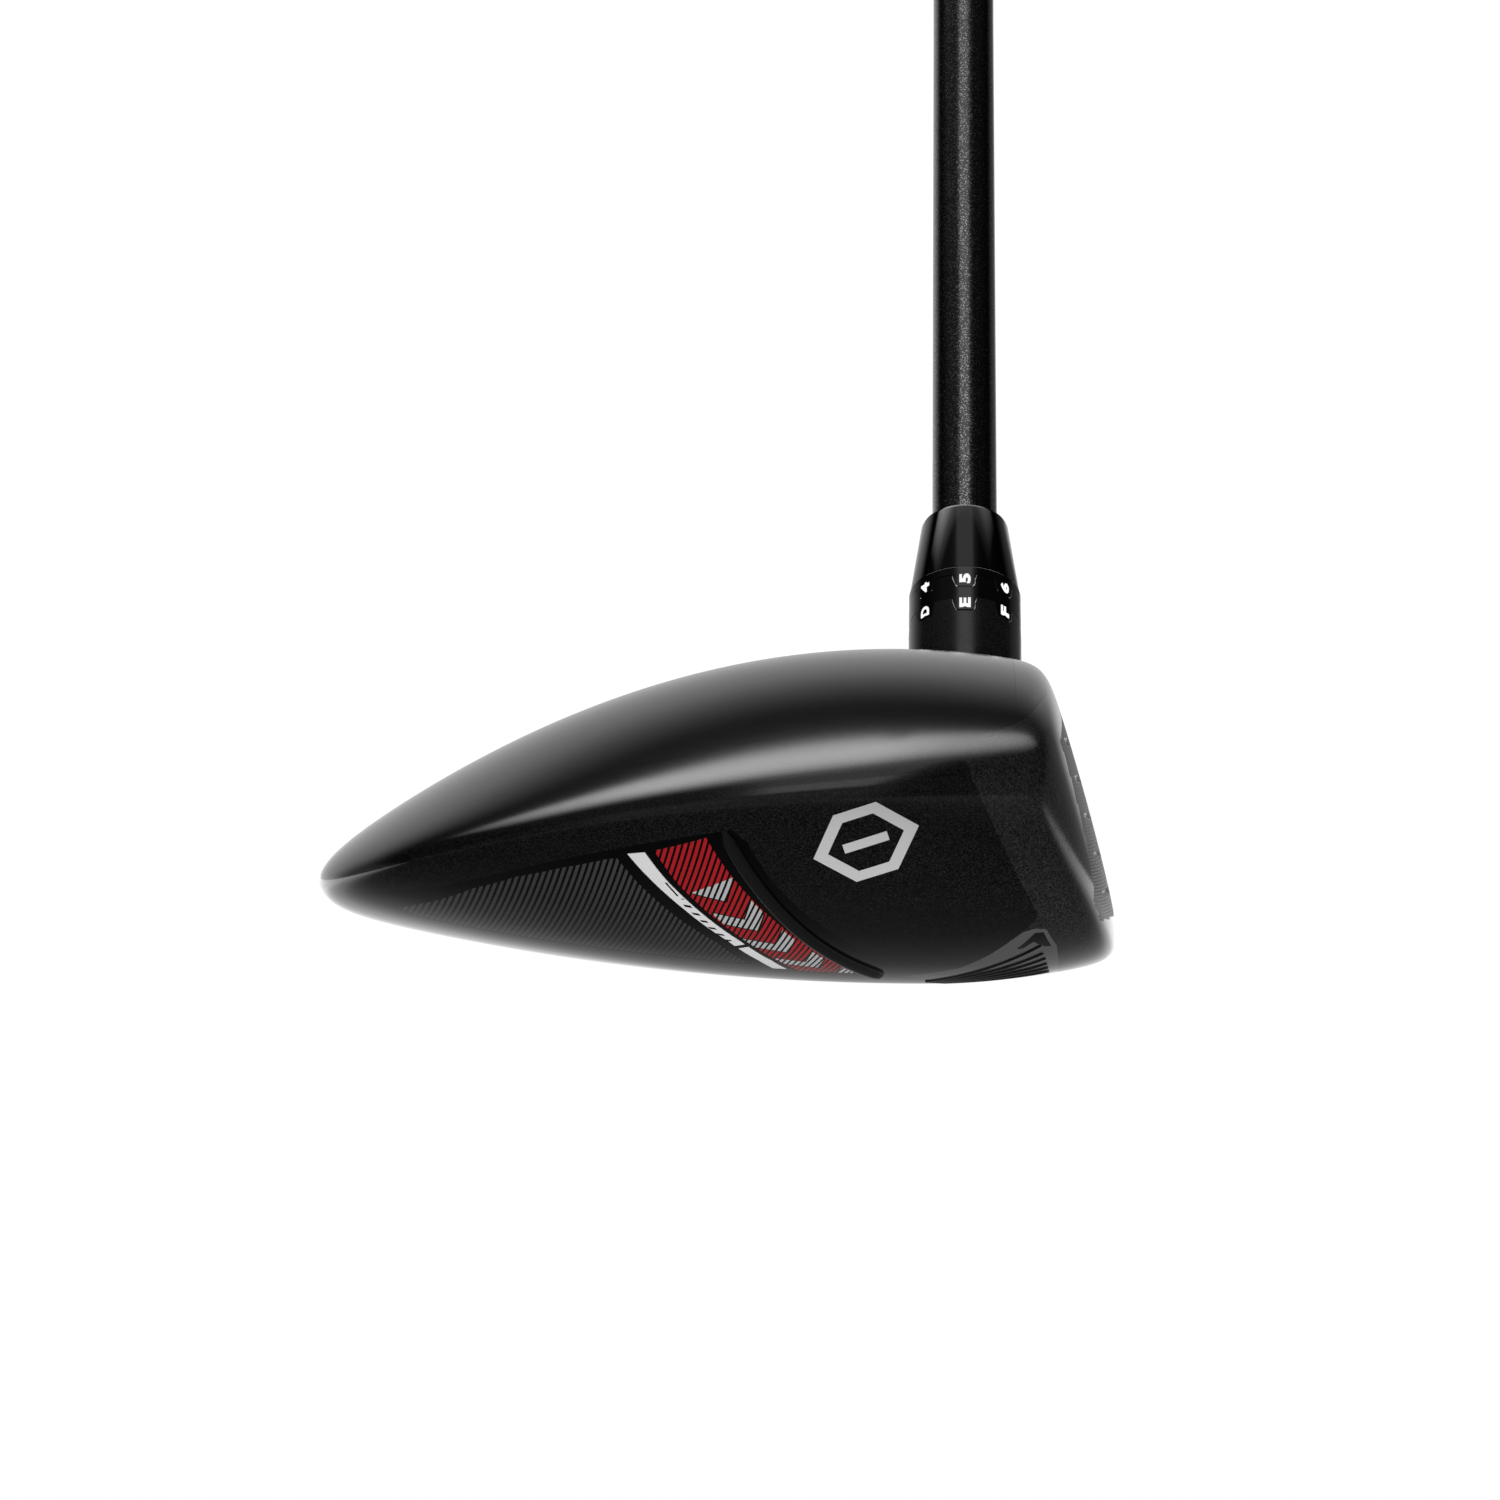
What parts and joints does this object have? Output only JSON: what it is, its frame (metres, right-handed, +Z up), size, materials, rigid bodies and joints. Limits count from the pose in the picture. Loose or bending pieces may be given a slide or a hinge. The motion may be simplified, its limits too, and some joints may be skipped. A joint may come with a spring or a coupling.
{
  "type": "fairway wood",
  "caption": "Golf fairway wood: low rounded hollow head with lofted face, satin dark finish, inlaid sole pieces, toothed adjustable hosel adapter, tapered shaft and rubber grip",
  "frame": {"origin": "the flat rest spot of the sole, where the head touches the ground at address", "axes": "+X toward the target (the face looks along +X, loft leaning it back), +Y from toe to heel and on along the shaft, +Z up; the shaft axis leans toward +Y at a lie angle of 58 degrees"},
  "size_m": [0.0896, 0.6669, 0.9317],
  "materials": {
    "body": "satin dark grey with a fine metallic speckle",
    "face": "satin dark grey, slightly lighter than the body",
    "crown": "satin dark grey with a fine metallic speckle",
    "panel": "gloss black with satin grey slanted stripes",
    "badge": "red slanted stripes on black with white chevrons",
    "bright_trim": "satin silver",
    "weight": "turned metal",
    "washer": "black elastomer",
    "screw": "black-oxide steel",
    "retainer": "natural nylon",
    "adapter": "satin anodised dark grey with white setting marks",
    "ferrule": "gloss black",
    "shaft": "black coated composite with a fine metallic fleck",
    "plug": "plain",
    "grip": "matte black rubber with a moulded pattern",
    "grip_cap": "matte black",
    "tape": "paper-backed tape"
  },
  "bodies": {
    "head": {"body_casting": "body", "face_cup": "face", "crown_shell": "crown", "toe_sole_panel": "panel", "heel_sole_panel": "panel", "toe_badge": "badge", "heel_badge": "badge", "toe_badge_strip": "bright_trim", "heel_badge_strip": "bright_trim", "toe_emblem": "bright_trim", "internal_weight_bar": "weight", "hosel_screw_washer": "screw", "screw_retainer": "retainer"},
    "shaft_assembly": {"adapter_sleeve": "adapter", "ferrule": "ferrule", "shaft": "shaft", "shaft_tip_plug": "plug", "grip": "grip", "grip_cap": "grip_cap", "grip_tape": "tape"},
    "ring": {"adapter_ring": "adapter"},
    "screw": {"hosel_screw": "screw"},
    "weight_washer": {"rear_weight_washer": "washer"},
    "weight": {"rear_weight": "weight"}
  },
  "joints": [
    {"name": "shaft_lift", "type": "slide", "parent": "head", "child": "shaft_assembly", "axis": [0, 0.5299, 0.848], "range_m": [0, 0.045]},
    {"name": "ring_slide", "type": "slide", "parent": "shaft_assembly", "child": "ring", "axis": [0, -0.5299, -0.848], "range_m": [0, 0.0045]},
    {"name": "hosel_screw_turn", "type": "hinge", "parent": "head", "child": "screw", "pos_m": [0.0054, 0.031, 0], "axis": [0, 0.5299, 0.848], "continuous": true},
    {"name": "rear_weight_out", "type": "slide", "parent": "head", "child": "weight_washer", "axis": [-0.1874, 0, -0.9823], "range_m": [0, 0.005]},
    {"name": "rear_weight_turn", "type": "hinge", "parent": "weight_washer", "child": "weight", "pos_m": [-0.053, 0, 0.00494], "axis": [0.1874, 0, 0.9823], "range_deg": [0, 1800]}
  ],
  "couplings": [
    {"joint": "ring_slide", "follows": "shaft_lift", "ratio": 0.1},
    {"joint": "rear_weight_turn", "follows": "rear_weight_out", "rad_per_m": 6283.2}
  ]
}
